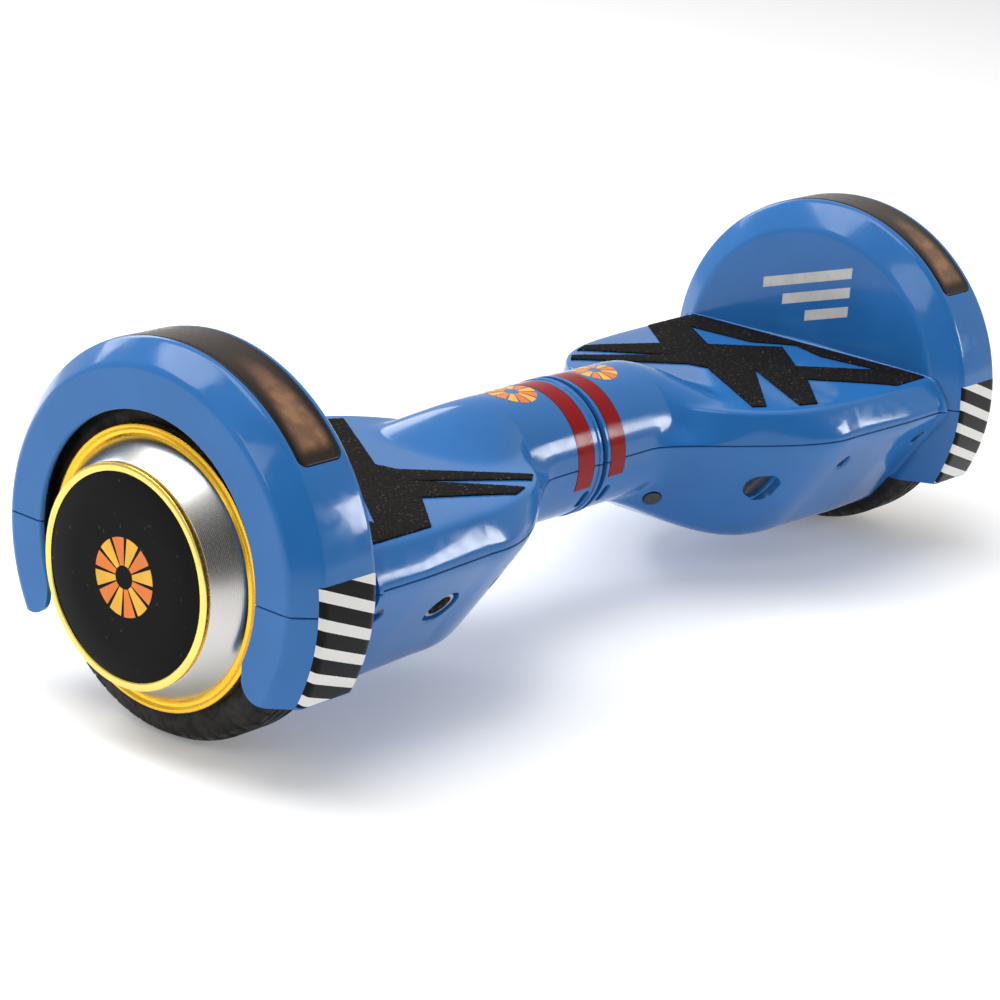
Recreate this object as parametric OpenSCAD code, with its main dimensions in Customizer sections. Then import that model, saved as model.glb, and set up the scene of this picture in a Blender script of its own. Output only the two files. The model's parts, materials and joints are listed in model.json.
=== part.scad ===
// Self balancing board with two hub motor wheels.
// X runs along the board, -Y is its front, +Z is up and the wheels stand on z = 0.

/* [Wheels] */
// Height of the wheel axle, which is also the tyre radius
axle_height = 81; // [80:0.5:82]
// Radius of the rim that the tyre sits on
rim_r = 63; // [62:0.5:64]
// Radius of the axle in its clamp
axle_r = 8; // [7.8:0.1:8.4]
// Radius of the outer trim ring
outer_ring_r = 64.9; // [64:0.1:65.5]
// Radius of the inner trim ring
inner_ring_r = 50.9; // [50:0.1:52]
// Radius of the round hub cap
cap_r = 47.1; // [46:0.1:48]

/* [Shells] */
// Height of the deck above the axle
deck_z = 22; // [20:0.5:23]
// Depth of the belly below the axle
belly_z = 60; // [57:0.5:61]
// Half depth of the deck section at the middle of a foot
shoulder_half = 91; // [89:0.5:92]
// Radius of the neck
neck_r = 35; // [34:0.5:36]
// Height of the neck and fender centre above the axle
centre_z = 4.5; // [3.5:0.5:5.5]
// Thickness of the plastic walls
wall = 2.6; // [2.2:0.1:3]

/* [Fenders] */
// Outer radius of the fender band
fender_r = 98; // [97:0.5:99]
// Distance from the middle of the board to the deck side of a fender
fender_x0 = 227; // [226.5:0.5:227.5]
// Distance from the middle of the board to the outer face of a fender
fender_x1 = 280; // [279.5:0.5:281]
// Radius of the wheel opening in the outer face
opening_r = 67.4; // [67:0.1:68.5]
// Lowest point of the fender tips below the axle
tip_z = 40; // [38:0.5:42]

/* [Centre joint] */
// Radius of the pivot shaft
shaft_r = 14; // [13.5:0.1:14.5]
// Largest twist of one half against the other, each way
twist = 12; // [8:1:14]
// Gap between moving pieces
gap = 0.3; // [0.3:0.05:0.4]

/* [Ports] */
// Radius of the charging port recess
port_r = 10; // [9.5:0.5:10.5]
// Radius of the charging socket, where the plug goes in
socket_r = 6.2; // [6:0.1:6.4]
// Radius of the power button recess
button_recess_r = 9; // [8.5:0.5:9.5]
// Travel of the power button
button_travel = 1.5; // [1:0.1:2]
// Travel of a foot sensor
sensor_travel = 1.2; // [0.8:0.1:1.5]

/* [Hidden] */
$fn = 64;

LEFT = -1;
RIGHT = 1;
fine = 96;

// Loft of a half: where its sections lie, how they grow from the neck to the shoulder, and the ridge
// in which the neck runs out over the deck
neck_end = 1.8;
lip_end = 4.6;
lip_r = neck_r + 0.7;
stations = [neck_end, 24, 40, 50, 60, 68, 76, 84, 92, 100, 108, 117, 127, 140, 160, 195];
arc_steps = 32;
flare_x0 = 12;
flare_x1 = 142;
hidden_half = 26;
taper_x0 = 150;
taper_x1 = 195;
taper = 2.5;
belly_x0 = 15;
belly_x1 = 125;
neck_belly = 26;
ridge_x0 = 52;
ridge_x1 = 140;
ridge_drop = 27;
ridge_share = 0.8;
deck_full = 82;
deck_nose = 22;
deck_nose_x = 85;
deck_nose_len = 24;
edge_power = 24;
blend_power = 24;
lower_slope = 35.5;

// Fender and wheel well
cavity_x1 = fender_x0 - 0.6;
well_x0 = fender_x0 + wall;
well_x1 = fender_x1 - wall;
well_r = fender_r - 3;
face_r = 87.5;
tip_open_half = 62;
tip_open_z = 22;
lens_x0 = 240;
lens_x1 = 266;
lens_angle = 38;

// Wheel
tyre_r = axle_height;
wheel_x0 = 233;
rim_x1 = 270;
lug_count = 48;
lug_r = tyre_r / cos(180 / lug_count);
crown_r = lug_r + 0.6;
bearing_r = 17.5;
bearing_w = 9;
bearing_clear = 0.05;
inner_axle_r = 7.5;
seat_r = 22;
stator_x0 = 244;
stator_w = 16.5;
magnet_count = 20;
tooth_count = 18;
axle_x0 = 194;

// Frame and centre joint
collar_r = 24;
collar_x0 = 4;
collar_x1 = 84;
plate_z0 = -16;
plate_z1 = -11;
bush_r = 16;
bush_len = 12;
retainer_r = 17;
pin_r = 2.5;
pin_x = 50;
slot_half = twist + asin(pin_r / bush_r) + 1;

// Screws and bosses: distance along the board and half depth of the shell screws
post_x = [112, 176];
post_y = [36, 44];
post_r = 4.5;
well_screw_r = 3.5;
boss_r = 5.5;
side_screws_left = [[121, 69], [219, 82]];
side_screws_right = [[153, 78], [219, 82]];
screw_seat_z = -6;
screw_recess_r = 4.2;
screw_recess_depth = 4;

// Recesses in the sloping front: distance along the board and height above the axle
port_x = 163;
button_x = 106;
recess_z = -23;
plug_x = 61;
plug_angle = 57;
plug_r = 4.6;
neck_slot_x = 8.5;
neck_slot_angle = 33;

// Boards and foot sensors
board_z = 2;
board_t = 1.6;
sensor_x = 139;
sensor_y = 46;
sensor_r = 8;

// Grip tape, seen from above on the right foot: a bolt that runs back to the neck and its window
tape_t = 0.9;
tape_outline = [
    [225, 79], [225, -79], [197, -79], [164, -43], [130, -73], [119, -69], [156, -14],
    [102, -60], [95, -56], [137, 4], [134, 15], [87, 59], [94, 64], [141, 31], [105, 69],
    [116, 73], [156, 50], [182, 79]
];
tape_window = [
    [200, 62], [177, 33], [208, 4], [181, -24], [214, -56], [210, -20], [218, 2], [202, 22]
];

// Middles of the cables, chosen by hand, seen on the right half
loom_x = 98;
motor_route = [
    [axle_x0, 0, 0], [190, 0, 0], [182, 3, -5], [160, 6, -6], [130, 6, -6], [112, 3, 0],
    [104, 1, 6], [loom_x, 0, 8.5]
];
power_route = [
    [112, 28, -30], [107, 28, -29], [101, 27, -22], [100, 26, -12], [102, 22, -3], [105, 13, 1],
    [104, 6, 1.5], [loom_x, 3, 1.5]
];
sensor_route = [[118, -10, 2.8], [112, -9, 2], [104, -6, 2], [loom_x, -3, 1.5]];

// Plug and socket in the middle of the loom, on the pivot's axis
plug_x0 = 88.5;
plug_x1 = 93;
loom_plug_r = 8.5;

function ease(u) = let(v = max(0, min(1, u))) v * v * (3 - 2 * v);
function ramp(u) = max(0, min(1, u));
function half_depth(x) =
    hidden_half
    + (shoulder_half - hidden_half) * ease((x - flare_x0) / (flare_x1 - flare_x0))
    + taper * ramp((x - taper_x0) / (taper_x1 - taper_x0));
function depth_below(x) =
    neck_belly + (belly_z - neck_belly) * ease((x - belly_x0) / (belly_x1 - belly_x0));
function deck_half(x) = max(hidden_half, deck_full - deck_nose * exp((deck_nose_x - x) / deck_nose_len));
function upper_slope(x) = atan((half_depth(x) - deck_half(x)) / (deck_z - centre_z));
function ridge_half(x) = max(neck_r, ridge_share * half_depth(x));
function ridge_height(x) = neck_r - ridge_drop * ease((x - ridge_x0) / (ridge_x1 - ridge_x0));

// Distance from the neck's centre line to the wall of a section, at angle a in the section
function deck_reach(a, x, inset) =
    let(y = abs(cos(a)), z = sin(a), h = half_depth(x), up = upper_slope(x), low = lower_slope)
    pow(
        pow(max(0, z) / (deck_z - centre_z - inset), edge_power)
        + pow(max(0, y * cos(up) + z * sin(up)) / (h * cos(up) - inset), edge_power)
        + pow(max(0, y * cos(low) - z * sin(low)) / (h * cos(low) - inset), edge_power)
        + pow(max(0, -z) / (depth_below(x) + centre_z - inset), edge_power),
        -1 / edge_power
    );
function ridge_reach(a, x, inset) =
    norm([cos(a) / (ridge_half(x) - inset), sin(a) / (ridge_height(x) - inset)]) ^ -1;
function reach(a, x, inset) =
    pow(
        pow(deck_reach(a, x, inset), blend_power) + pow(ridge_reach(a, x, inset), blend_power),
        1 / blend_power
    );

// Half of the lofted body, above (a0 = 0) or below (a0 = 180) the parting plane, or a little over half
module half_loft(a0, x_last, inset, over) {
    rings = concat([for (x = stations) x == neck_end && inset > 0 ? x - 1 : x], [x_last]);
    arc = [for (i = [0:arc_steps]) a0 - over + (180 + 2 * over) * i / arc_steps];
    count = arc_steps + 1;
    points = [
        for (x = rings, a = arc)
        let(r = reach(a, x, inset))
        [x, r * cos(a), centre_z + r * sin(a)]
    ];
    last = (len(rings) - 1) * count;
    sides = [
        for (k = [0:len(rings) - 2], i = [0:count - 1])
        let(a = k * count + i, b = k * count + (i + 1) % count)
        for (f = [[a, a + count, b], [b, a + count, b + count]]) f
    ];
    polyhedron(
        points,
        concat(sides, [[for (i = [0:count - 1]) i]], [[for (i = [count - 1:-1:0]) last + i]])
    );
}

// Turns a shape that was drawn around Z so that it lies around X, at a height above the axle
module around_x(height = 0) {
    translate([0, 0, height])
        rotate([90, 0, 90])
            children();
}
module revolve_x(outline, height = 0) {
    around_x(height)
        rotate_extrude($fn = fine)
            polygon([for (p = outline) [p[1], p[0]]]);
}
module rod_x(x0, x1, r, y = 0, z = 0) {
    translate([x0, y, z])
        rotate([0, 90, 0])
            cylinder(h = x1 - x0, r = r);
}
module block(low, high) {
    translate(low)
        cube(high - low);
}
module wedge_x(x0, x1, r, a0, a1, height) {
    steps = 4;
    translate([x0, 0, height])
        rotate([90, 0, 90])
            linear_extrude(x1 - x0)
                polygon(concat(
                    [[0, 0]],
                    [for (i = [0:steps]) let(a = a0 + (a1 - a0) * i / steps) r * [cos(a), sin(a)]]
                ));
}

// Everything is drawn on the right half at axle height: this puts it in its place
module placed(side) {
    translate([0, 0, axle_height])
        mirror([side == LEFT ? 1 : 0, 0, 0])
            children();
}
// A hole or rod that stands square on the sloping lower side, drawn along +Z and out of it
module on_slope(x, z) {
    translate([x, -(half_depth(x) + (z - centre_z) * tan(lower_slope)), z])
        rotate([90 + lower_slope, 0, 0])
            children();
}
// The same on the round neck, at an angle below the horizontal
module on_neck(x, angle) {
    translate([x, 0, centre_z])
        rotate([90 + angle, 0, 0])
            children();
}
// The same where the neck flares into the foot, square on the wall
module on_flare(x, angle) {
    r = reach(-angle, x, 0);
    lean = atan((reach(-angle - 1, x, 0) - reach(-angle + 1, x, 0)) * 90 / PI / r);
    tilt = atan((reach(-angle, x + 1, 0) - reach(-angle, x - 1, 0)) / 2);
    translate([x, -r * cos(angle), centre_z - r * sin(angle)])
        rotate([90 + angle - lean, 0, 0])
            rotate([0, -tilt, 0])
                children();
}
// Tube along a route, as one skin with a ring at each point
module cable(route, r) {
    sides = 8;
    last = len(route) - 1;
    along = [for (i = [0:last]) route[min(i + 1, last)] - route[max(i - 1, 0)]];
    points = [
        for (i = [0:last])
        let(
            t = along[i] / norm(along[i]),
            u = cross(t, [0, 1, 0]) / norm(cross(t, [0, 1, 0])),
            v = cross(t, u)
        )
        for (k = [0:sides - 1]) route[i] + r * (cos(360 * k / sides) * u + sin(360 * k / sides) * v)
    ];
    walls = [
        for (i = [0:last - 1], k = [0:sides - 1])
        let(a = i * sides + k, b = i * sides + (k + 1) % sides)
        for (f = [[a, a + sides, b], [b, a + sides, b + sides]]) f
    ];
    polyhedron(
        points,
        concat(walls, [[for (k = [0:sides - 1]) k]], [[for (k = [sides - 1:-1:0]) last * sides + k]])
    );
}

// Fender: outer solid, and the wheel well that is taken out of it
module fender_solid() {
    revolve_x([
        [fender_x0, 0], [fender_x0, 84], [fender_x0 + 2.5, 91], [fender_x0 + 8, 96.5],
        [fender_x0 + 13, fender_r], [fender_x1 - 12, fender_r], [fender_x1, face_r], [fender_x1, 0]
    ], centre_z);
}
module wheel_well() {
    revolve_x([
        [well_x0, 0], [well_x0, 82], [well_x0 + 6, 92.5], [well_x0 + 10, well_r],
        [well_x1 - 10.5, well_r], [well_x1, face_r - 2], [well_x1, 0]
    ], centre_z);
    rod_x(well_x1 - 1, fender_x1 + 1, opening_r, 0, centre_z, $fn = fine);
}
module lens_sector(grow, r0, r1) {
    intersection() {
        revolve_x([
            [lens_x0 - grow, r0], [lens_x0 - grow, r1], [lens_x1 + grow, r1], [lens_x1 + grow, r0]
        ], centre_z);
        wedge_x(lens_x0 - 1, lens_x1 + 1, 130, lens_angle - grow, 180 - lens_angle + grow, centre_z);
    }
}

module upper_shell(side) {
    screws = side == LEFT ? side_screws_left : side_screws_right;
    color("royalblue")
        placed(side)
            difference() {
                union() {
                    half_loft(0, well_x0, 0, 0);
                    intersection() {
                        fender_solid();
                        block([fender_x0 - 1, -fender_r, centre_z], [fender_x1 + 1, fender_r, 2 * fender_r]);
                    }
                    intersection() {
                        rod_x(neck_end, lip_end, lip_r, 0, centre_z);
                        block([0, -50, centre_z], [10, 50, 50]);
                    }
                }
                difference() {
                    half_loft(0, cavity_x1, wall, 1);
                    for (s = screws, y = [-s[1], s[1]])
                        translate([s[0], y, centre_z - 2])
                            cylinder(h = 2 * deck_z, r = post_r);
                    for (i = [0:1], y = [-post_y[i], post_y[i]])
                        translate([post_x[i], y, centre_z - 2])
                            cylinder(h = 2 * deck_z, r = post_r);
                }
                wheel_well();
                lens_sector(0.15, 80, 110);
                rod_x(fender_x0 - 1, well_x0 + 1, axle_r + 1);
                for (s = screws, y = [-s[1], s[1]])
                    translate([s[0], y, centre_z - 1])
                        cylinder(h = 9, r = 1.5);
            }
}

module lower_shell(side) {
    screws = side == LEFT ? side_screws_left : side_screws_right;
    color("steelblue")
        placed(side)
            difference() {
                union() {
                    half_loft(180, well_x0, 0, 0);
                    intersection() {
                        fender_solid();
                        block([fender_x0 - 1, -fender_r, -tip_z], [fender_x1 + 1, fender_r, centre_z]);
                    }
                    intersection() {
                        rod_x(neck_end, lip_end, lip_r, 0, centre_z);
                        block([0, -50, -50], [10, 50, centre_z]);
                    }
                }
                difference() {
                    half_loft(180, cavity_x1, wall, 1);
                    for (s = screws, y = [-s[1], s[1]])
                        translate([s[0], y, -50])
                            cylinder(h = 60, r = boss_r);
                    if (side == LEFT)
                        on_slope(port_x, recess_z)
                            translate([0, 0, -12])
                                cylinder(h = 20, r = port_r + 2.5);
                    if (side == RIGHT)
                        on_slope(button_x, recess_z)
                            translate([0, 0, -16])
                                cylinder(h = 24, r = button_recess_r + 2);
                }
                wheel_well();
                block([well_x0, -tip_open_half, -tip_z - 1], [fender_x1 + 1, tip_open_half, -tip_open_z]);
                rod_x(fender_x0 - 1, well_x0 + 1, axle_r + 1);
                for (s = screws, y = [-s[1], s[1]])
                    translate([s[0], y, 0]) {
                        translate([0, 0, -60])
                            cylinder(h = 60 + screw_seat_z, r = well_screw_r);
                        translate([0, 0, screw_seat_z - 1])
                            cylinder(h = 20, r = 1.7);
                    }
                for (s = screws)
                    on_slope(s[0], centre_z - (half_depth(s[0]) - s[1]) / tan(lower_slope))
                        translate([0, 0, -screw_recess_depth])
                            cylinder(h = 10, r = screw_recess_r);
                if (side == LEFT)
                    on_slope(port_x, recess_z)
                        translate([0, 0, -20])
                            cylinder(h = 40, r = port_r);
                if (side == RIGHT) {
                    on_slope(button_x, recess_z)
                        translate([0, 0, -20])
                            cylinder(h = 40, r = button_recess_r);
                    on_flare(plug_x, plug_angle)
                        translate([0, 0, -6])
                            cylinder(h = 10, r = plug_r);
                }
                on_neck(neck_slot_x, neck_slot_angle)
                    for (k = [-1, 0, 1])
                        translate([0, 4 * k, 28])
                            cylinder(h = 10, r = 2.2);
            }
}

module frame(side) {
    bore = side == LEFT ? shaft_r : bush_r;
    color("silver")
        placed(side)
            difference() {
                union() {
                    rod_x(collar_x0, collar_x1, collar_r, 0, centre_z);
                    block([60, -20, plate_z0], [112, 20, plate_z1]);
                    for (y = [-17, 14])
                        block([62, y, plate_z0], [112, y + 3, -4]);
                    translate([0, 0, plate_z0])
                        linear_extrude(plate_z1 - plate_z0)
                            polygon([
                                [106, -34], [112, -40], [126, -50], [216, -50],
                                [216, 50], [126, 50], [112, 40], [106, 34]
                            ]);
                    for (y = [-48, -12, 9, 45])
                        block([124, y, plate_z1 - 1], [190, y + 3, -5]);
                    block([196, -24, plate_z0], [214, 24, 0]);
                    for (x = [123, 155], y = [-26, 26])
                        translate([x, y, plate_z0])
                            cylinder(h = board_z - plate_z0, r = 4);
                    for (i = [0:1], y = [-post_y[i], post_y[i]])
                        translate([post_x[i], y, plate_z0])
                            cylinder(h = centre_z - plate_z0, r = post_r);
                }
                rod_x(-1, 104, bore, 0, centre_z);
                rod_x(190, 220, axle_r);
                rod_x(collar_x1, collar_x1 + 2.4, retainer_r + 0.6, 0, centre_z);
                if (side == RIGHT)
                    wedge_x(
                        pin_x - pin_r - 0.5, pin_x + pin_r + 0.5, 40,
                        90 - slot_half, 90 + slot_half, centre_z
                    );
                for (x = [200.5, 209.5], y = [-17, 17])
                    translate([x, y, -12])
                        cylinder(h = 20, r = 2);
                on_neck(neck_slot_x, neck_slot_angle)
                    translate([0, 0, 18])
                        cylinder(h = 10, r = 1.5);
            }
}

module pivot_shaft() {
    color("gainsboro")
        placed(RIGHT)
            difference() {
                rod_x(-86, 88, shaft_r, 0, centre_z);
                rod_x(-90, 90, shaft_r - 3.5, 0, centre_z);
                revolve_x([[83.9, 12.8], [83.9, 20], [85.6, 20], [85.6, 12.8]], centre_z);
                translate([pin_x, 0, centre_z])
                    cylinder(h = 30, r = pin_r);
            }
}

module pivot_bushes() {
    color("darkgoldenrod")
        placed(RIGHT)
            for (x = [collar_x0, collar_x1 - bush_len])
                difference() {
                    rod_x(x, x + bush_len - 0.4, bush_r, 0, centre_z);
                    rod_x(x - 1, x + bush_len + 1, shaft_r + bearing_clear, 0, centre_z);
                }
}

module retaining_ring() {
    color("dimgray")
        placed(RIGHT)
            difference() {
                revolve_x([[84.3, 12.8], [84.3, retainer_r], [85.6, retainer_r], [85.6, 12.8]], centre_z);
                block([84, -3, centre_z - 20], [86, 3, centre_z]);
            }
}

module limit_pin() {
    color("gainsboro")
        placed(RIGHT)
            translate([pin_x, 0, centre_z + 10.6])
                cylinder(h = 12, r = pin_r);
}

module centre_seal_ring() {
    color("midnightblue")
        placed(RIGHT)
            revolve_x([
                [-neck_end, 30], [-neck_end, 33.6], [neck_end - gap, 33.6], [neck_end - gap, 30]
            ], centre_z);
}

module lens(side) {
    color([0.25, 0.2, 0.18, 0.8])
        placed(side)
            lens_sector(0, well_r - 0.5, fender_r + 0.3);
}

module led_board(side) {
    color("darkgreen")
        placed(side)
            intersection() {
                revolve_x([[246, 92.6], [246, well_r - 0.5], [260, well_r - 0.5], [260, 92.6]], centre_z);
                wedge_x(244, 262, 130, lens_angle + 4, 176 - lens_angle, centre_z);
            }
}

module grip_tape(side) {
    color([0.12, 0.12, 0.12])
        translate([0, 0, axle_height + deck_z])
            rotate([0, 0, side == LEFT ? 180 : 0])
                linear_extrude(tape_t)
                    difference() {
                        polygon(tape_outline);
                        polygon(tape_window);
                    }
}

module tyre(side) {
    pitch = 360 / lug_count;
    color([0.1, 0.1, 0.1])
        placed(side)
            intersection() {
                revolve_x([
                    [wheel_x0 + 1, rim_r], [wheel_x0 - 0.3, 68], [wheel_x0, 74], [wheel_x0 + 3, 78.6],
                    [wheel_x0 + 8, tyre_r - 0.4], [wheel_x0 + 14, crown_r], [wheel_x0 + 22, crown_r],
                    [wheel_x0 + 28, tyre_r - 0.4], [wheel_x0 + 33, 78.6], [wheel_x0 + 36.5, 74],
                    [wheel_x0 + 37, 68], [wheel_x0 + 36, rim_r]
                ]);
                translate([wheel_x0 - 1, 0, 0])
                    rotate([90, 0, 90])
                        linear_extrude(40)
                            polygon([
                                for (k = [0:lug_count - 1])
                                let(a = (k + 0.5) * pitch)
                                lug_r * [cos(a), sin(a)]
                            ]);
            }
}

module rim(side) {
    color("silver")
        placed(side)
            revolve_x([
                [wheel_x0 + 1, 57], [wheel_x0 + 1, rim_r], [rim_x1, rim_r], [rim_x1, bearing_r],
                [rim_x1 - bearing_w, bearing_r], [rim_x1 - bearing_w, seat_r], [rim_x1 - 4, seat_r],
                [rim_x1 - 4, 57]
            ]);
}

module motor_cover(side) {
    x0 = wheel_x0 + 1;
    color("silver")
        placed(side)
            revolve_x([
                [x0, bearing_r], [x0, 57], [x0 + 3, 57], [x0 + 3, seat_r],
                [x0 + bearing_w, seat_r], [x0 + bearing_w, bearing_r]
            ]);
}

module magnets(side) {
    pitch = 360 / magnet_count;
    half_width = 70 * tan(pitch * 0.42);
    color("slategray")
        placed(side)
            translate([stator_x0 - 1, 0, 0])
                rotate([90, 0, 90])
                    linear_extrude(stator_w + 2)
                        intersection() {
                            difference() {
                                circle(r = 57, $fn = fine);
                                circle(r = 54, $fn = fine);
                            }
                            for (i = [0:magnet_count - 1])
                                rotate(i * pitch)
                                    polygon([[0, 0], [70, -half_width], [70, half_width]]);
                        }
}

module stator(side) {
    pitch = 360 / tooth_count;
    color("peru")
        placed(side)
            translate([stator_x0, 0, 0])
                rotate([90, 0, 90])
                    linear_extrude(stator_w)
                        difference() {
                            union() {
                                circle(r = 30, $fn = fine);
                                for (i = [0:tooth_count - 1])
                                    rotate(i * pitch) {
                                        translate([28, -4.5])
                                            square([20, 9]);
                                        translate([47, -7])
                                            square([5.5, 14]);
                                    }
                            }
                            circle(r = inner_axle_r, $fn = fine);
                        }
}

module axle(side) {
    color("gainsboro")
        placed(side) {
            rod_x(axle_x0, wheel_x0, axle_r);
            rod_x(wheel_x0, rim_x1 + 2, inner_axle_r);
        }
}

module wheel_bearings(side) {
    color("lightsteelblue")
        placed(side)
            for (x = [wheel_x0 + 1, rim_x1 - bearing_w])
                difference() {
                    rod_x(x, x + bearing_w, bearing_r);
                    rod_x(x - 1, x + bearing_w + 1, inner_axle_r + bearing_clear);
                }
}

module outer_trim_ring(side) {
    color("gold")
        placed(side)
            revolve_x([
                [rim_x1, 59.5], [rim_x1, outer_ring_r], [274.3, outer_ring_r],
                [275.3, outer_ring_r - 1], [275.3, 59.5]
            ]);
}

module hub_cone(side) {
    color("lightgray")
        placed(side)
            revolve_x([
                [rim_x1, 57.5], [rim_x1, 59.5], [275.3, 59.5], [289, inner_ring_r],
                [289, inner_ring_r - 1.9], [275, 57.5]
            ]);
}

module inner_trim_ring(side) {
    color("khaki")
        placed(side)
            revolve_x([
                [289, cap_r], [289, inner_ring_r], [291, inner_ring_r], [292, inner_ring_r - 1],
                [292, cap_r]
            ]);
}

module hub_cap(side) {
    color([0.05, 0.05, 0.05])
        placed(side)
            revolve_x([[287, 0], [287, cap_r], [291.4, cap_r], [291.4, 0]]);
}

module axle_clamp(side) {
    color("silver")
        placed(side)
            difference() {
                block([196, -24, 0], [214, 24, 12]);
                rod_x(190, 220, axle_r);
                for (x = [200.5, 209.5], y = [-17, 17])
                    translate([x, y, -1])
                        cylinder(h = 20, r = 2);
            }
}

module clamp_screws(side) {
    color("dimgray")
        placed(side)
            for (x = [200.5, 209.5], y = [-17, 17])
                translate([x, y, -11.5]) {
                    cylinder(h = 24, r = 2);
                    translate([0, 0, 23.5])
                        cylinder(h = 3, r = 3.5);
                }
}

module battery_pack() {
    color("darkslateblue")
        placed(LEFT)
            block([112, -38, -52], [208, 38, -17]);
}

module main_board() {
    color("darkgreen")
        placed(RIGHT) {
            block([112, -38, -22], [206, 38, -20.4]);
            for (y = [-24, -8, 8, 24])
                block([112, y - 6, -34], [121, y + 6, -21.9]);
            for (y = [-20, 0, 20])
                translate([196, y, -38])
                    cylinder(h = 16.1, r = 7);
        }
}

module heat_sink() {
    color("lightgray")
        placed(RIGHT) {
            block([130, -30, -27], [180, 30, -22]);
            for (y = [-30:6:27])
                block([130, y, -38], [180, y + 2, -26]);
        }
}

module sensor_board(side) {
    color("darkgreen")
        placed(side) {
            block([118, -60, board_z], [160, 60, board_z + board_t]);
            for (y = [-14, 6])
                block([122, y, board_z + 1], [134, y + 8, board_z + 5]);
        }
}

module foot_sensor(side, y) {
    low = board_z + board_t + sensor_travel + gap;
    high = deck_z - wall - gap;
    color("whitesmoke")
        placed(side)
            translate([sensor_x, y, low]) {
                cylinder(h = high - low, r = sensor_r - 3);
                translate([0, 0, high - low - 3])
                    cylinder(h = 3, r = sensor_r);
            }
}

module charge_port() {
    color("silver")
        placed(LEFT)
            on_slope(port_x, recess_z)
                difference() {
                    union() {
                        translate([0, 0, -14])
                            cylinder(h = 2, r = port_r + 2);
                        translate([0, 0, -21])
                            cylinder(h = 19.5, r = 7.8);
                    }
                    translate([0, 0, -13])
                        cylinder(h = 20, r = socket_r);
                    for (a = [30:120:270])
                        rotate(a)
                            translate([3.2, 0, -18])
                                cylinder(h = 6, r = 1);
                }
}

module power_button() {
    color([0.15, 0.15, 0.16])
        placed(RIGHT)
            on_slope(button_x, recess_z) {
                translate([0, 0, -6])
                    cylinder(h = 3.5, r = button_recess_r - gap);
                translate([0, 0, -12])
                    cylinder(h = 6.5, r = 4);
            }
}

module power_switch() {
    color("dimgray")
        placed(RIGHT)
            on_slope(button_x, recess_z)
                difference() {
                    translate([0, 0, -16])
                        cylinder(h = 5.5, r = button_recess_r);
                    translate([0, 0, -12 - button_travel - gap])
                        cylinder(h = 10, r = 4 + gap);
                }
}

module shell_screws(side) {
    screws = side == LEFT ? side_screws_left : side_screws_right;
    color("dimgray")
        placed(side) {
            for (s = screws, y = [-s[1], s[1]])
                translate([s[0], y, 0]) {
                    translate([0, 0, screw_seat_z - 2.4])
                        cylinder(h = 2.4, r = 3);
                    translate([0, 0, screw_seat_z - 0.1])
                        cylinder(h = 16, r = 1.5);
                }
            on_neck(neck_slot_x, neck_slot_angle) {
                translate([0, 0, 19])
                    cylinder(h = 8, r = 1.5);
                translate([0, 0, 26.9])
                    cylinder(h = 2, r = 2.8);
            }
        }
}

module cables(side) {
    color("black")
        placed(side) {
            cable(motor_route, 2.2);
            cable(power_route, 2);
            cable(sensor_route, 1.4);
        }
    if (side == LEFT)
        color("dimgray")
            placed(RIGHT) {
                rod_x(-loom_x, plug_x1, 2.2, 0, centre_z + 4);
                rod_x(-loom_x, plug_x1, 2, -3, centre_z - 3);
                rod_x(-loom_x, plug_x1, 2, 3, centre_z - 3);
                rod_x(plug_x0, plug_x1, loom_plug_r, 0, centre_z);
            }
    if (side == RIGHT)
        color("dimgray")
            placed(RIGHT)
                rod_x(plug_x1 + gap, loom_x, loom_plug_r, 0, centre_z);
}

module screw_plug() {
    color("dimgray")
        placed(RIGHT)
            on_flare(plug_x, plug_angle)
                translate([0, 0, -3.4])
                    cylinder(h = 3.7, r = plug_r);
}

upper_shell(LEFT);  // upper_shell_left
upper_shell(RIGHT);  // upper_shell_right
lower_shell(LEFT);  // lower_shell_left
lower_shell(RIGHT);  // lower_shell_right
frame(LEFT);  // frame_left
frame(RIGHT);  // frame_right
pivot_shaft();
pivot_bushes();
retaining_ring();
limit_pin();
centre_seal_ring();
lens(LEFT);  // lens_left
lens(RIGHT);  // lens_right
led_board(LEFT);  // led_board_left
led_board(RIGHT);  // led_board_right
grip_tape(LEFT);  // grip_tape_left
grip_tape(RIGHT);  // grip_tape_right
tyre(LEFT);  // tyre_left
tyre(RIGHT);  // tyre_right
rim(LEFT);  // rim_left
rim(RIGHT);  // rim_right
magnets(LEFT);  // magnets_left
magnets(RIGHT);  // magnets_right
stator(LEFT);  // stator_left
stator(RIGHT);  // stator_right
axle(LEFT);  // axle_left
axle(RIGHT);  // axle_right
wheel_bearings(LEFT);  // wheel_bearings_left
wheel_bearings(RIGHT);  // wheel_bearings_right
motor_cover(LEFT);  // motor_cover_left
motor_cover(RIGHT);  // motor_cover_right
outer_trim_ring(LEFT);  // outer_trim_ring_left
outer_trim_ring(RIGHT);  // outer_trim_ring_right
hub_cone(LEFT);  // hub_cone_left
hub_cone(RIGHT);  // hub_cone_right
inner_trim_ring(LEFT);  // inner_trim_ring_left
inner_trim_ring(RIGHT);  // inner_trim_ring_right
hub_cap(LEFT);  // hub_cap_left
hub_cap(RIGHT);  // hub_cap_right
axle_clamp(LEFT);  // axle_clamp_left
axle_clamp(RIGHT);  // axle_clamp_right
clamp_screws(LEFT);  // clamp_screws_left
clamp_screws(RIGHT);  // clamp_screws_right
battery_pack();
main_board();
heat_sink();
sensor_board(LEFT);  // sensor_board_left
sensor_board(RIGHT);  // sensor_board_right
foot_sensor(LEFT, -sensor_y);  // foot_sensor_left_front
foot_sensor(LEFT, sensor_y);  // foot_sensor_left_rear
foot_sensor(RIGHT, -sensor_y);  // foot_sensor_right_front
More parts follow.
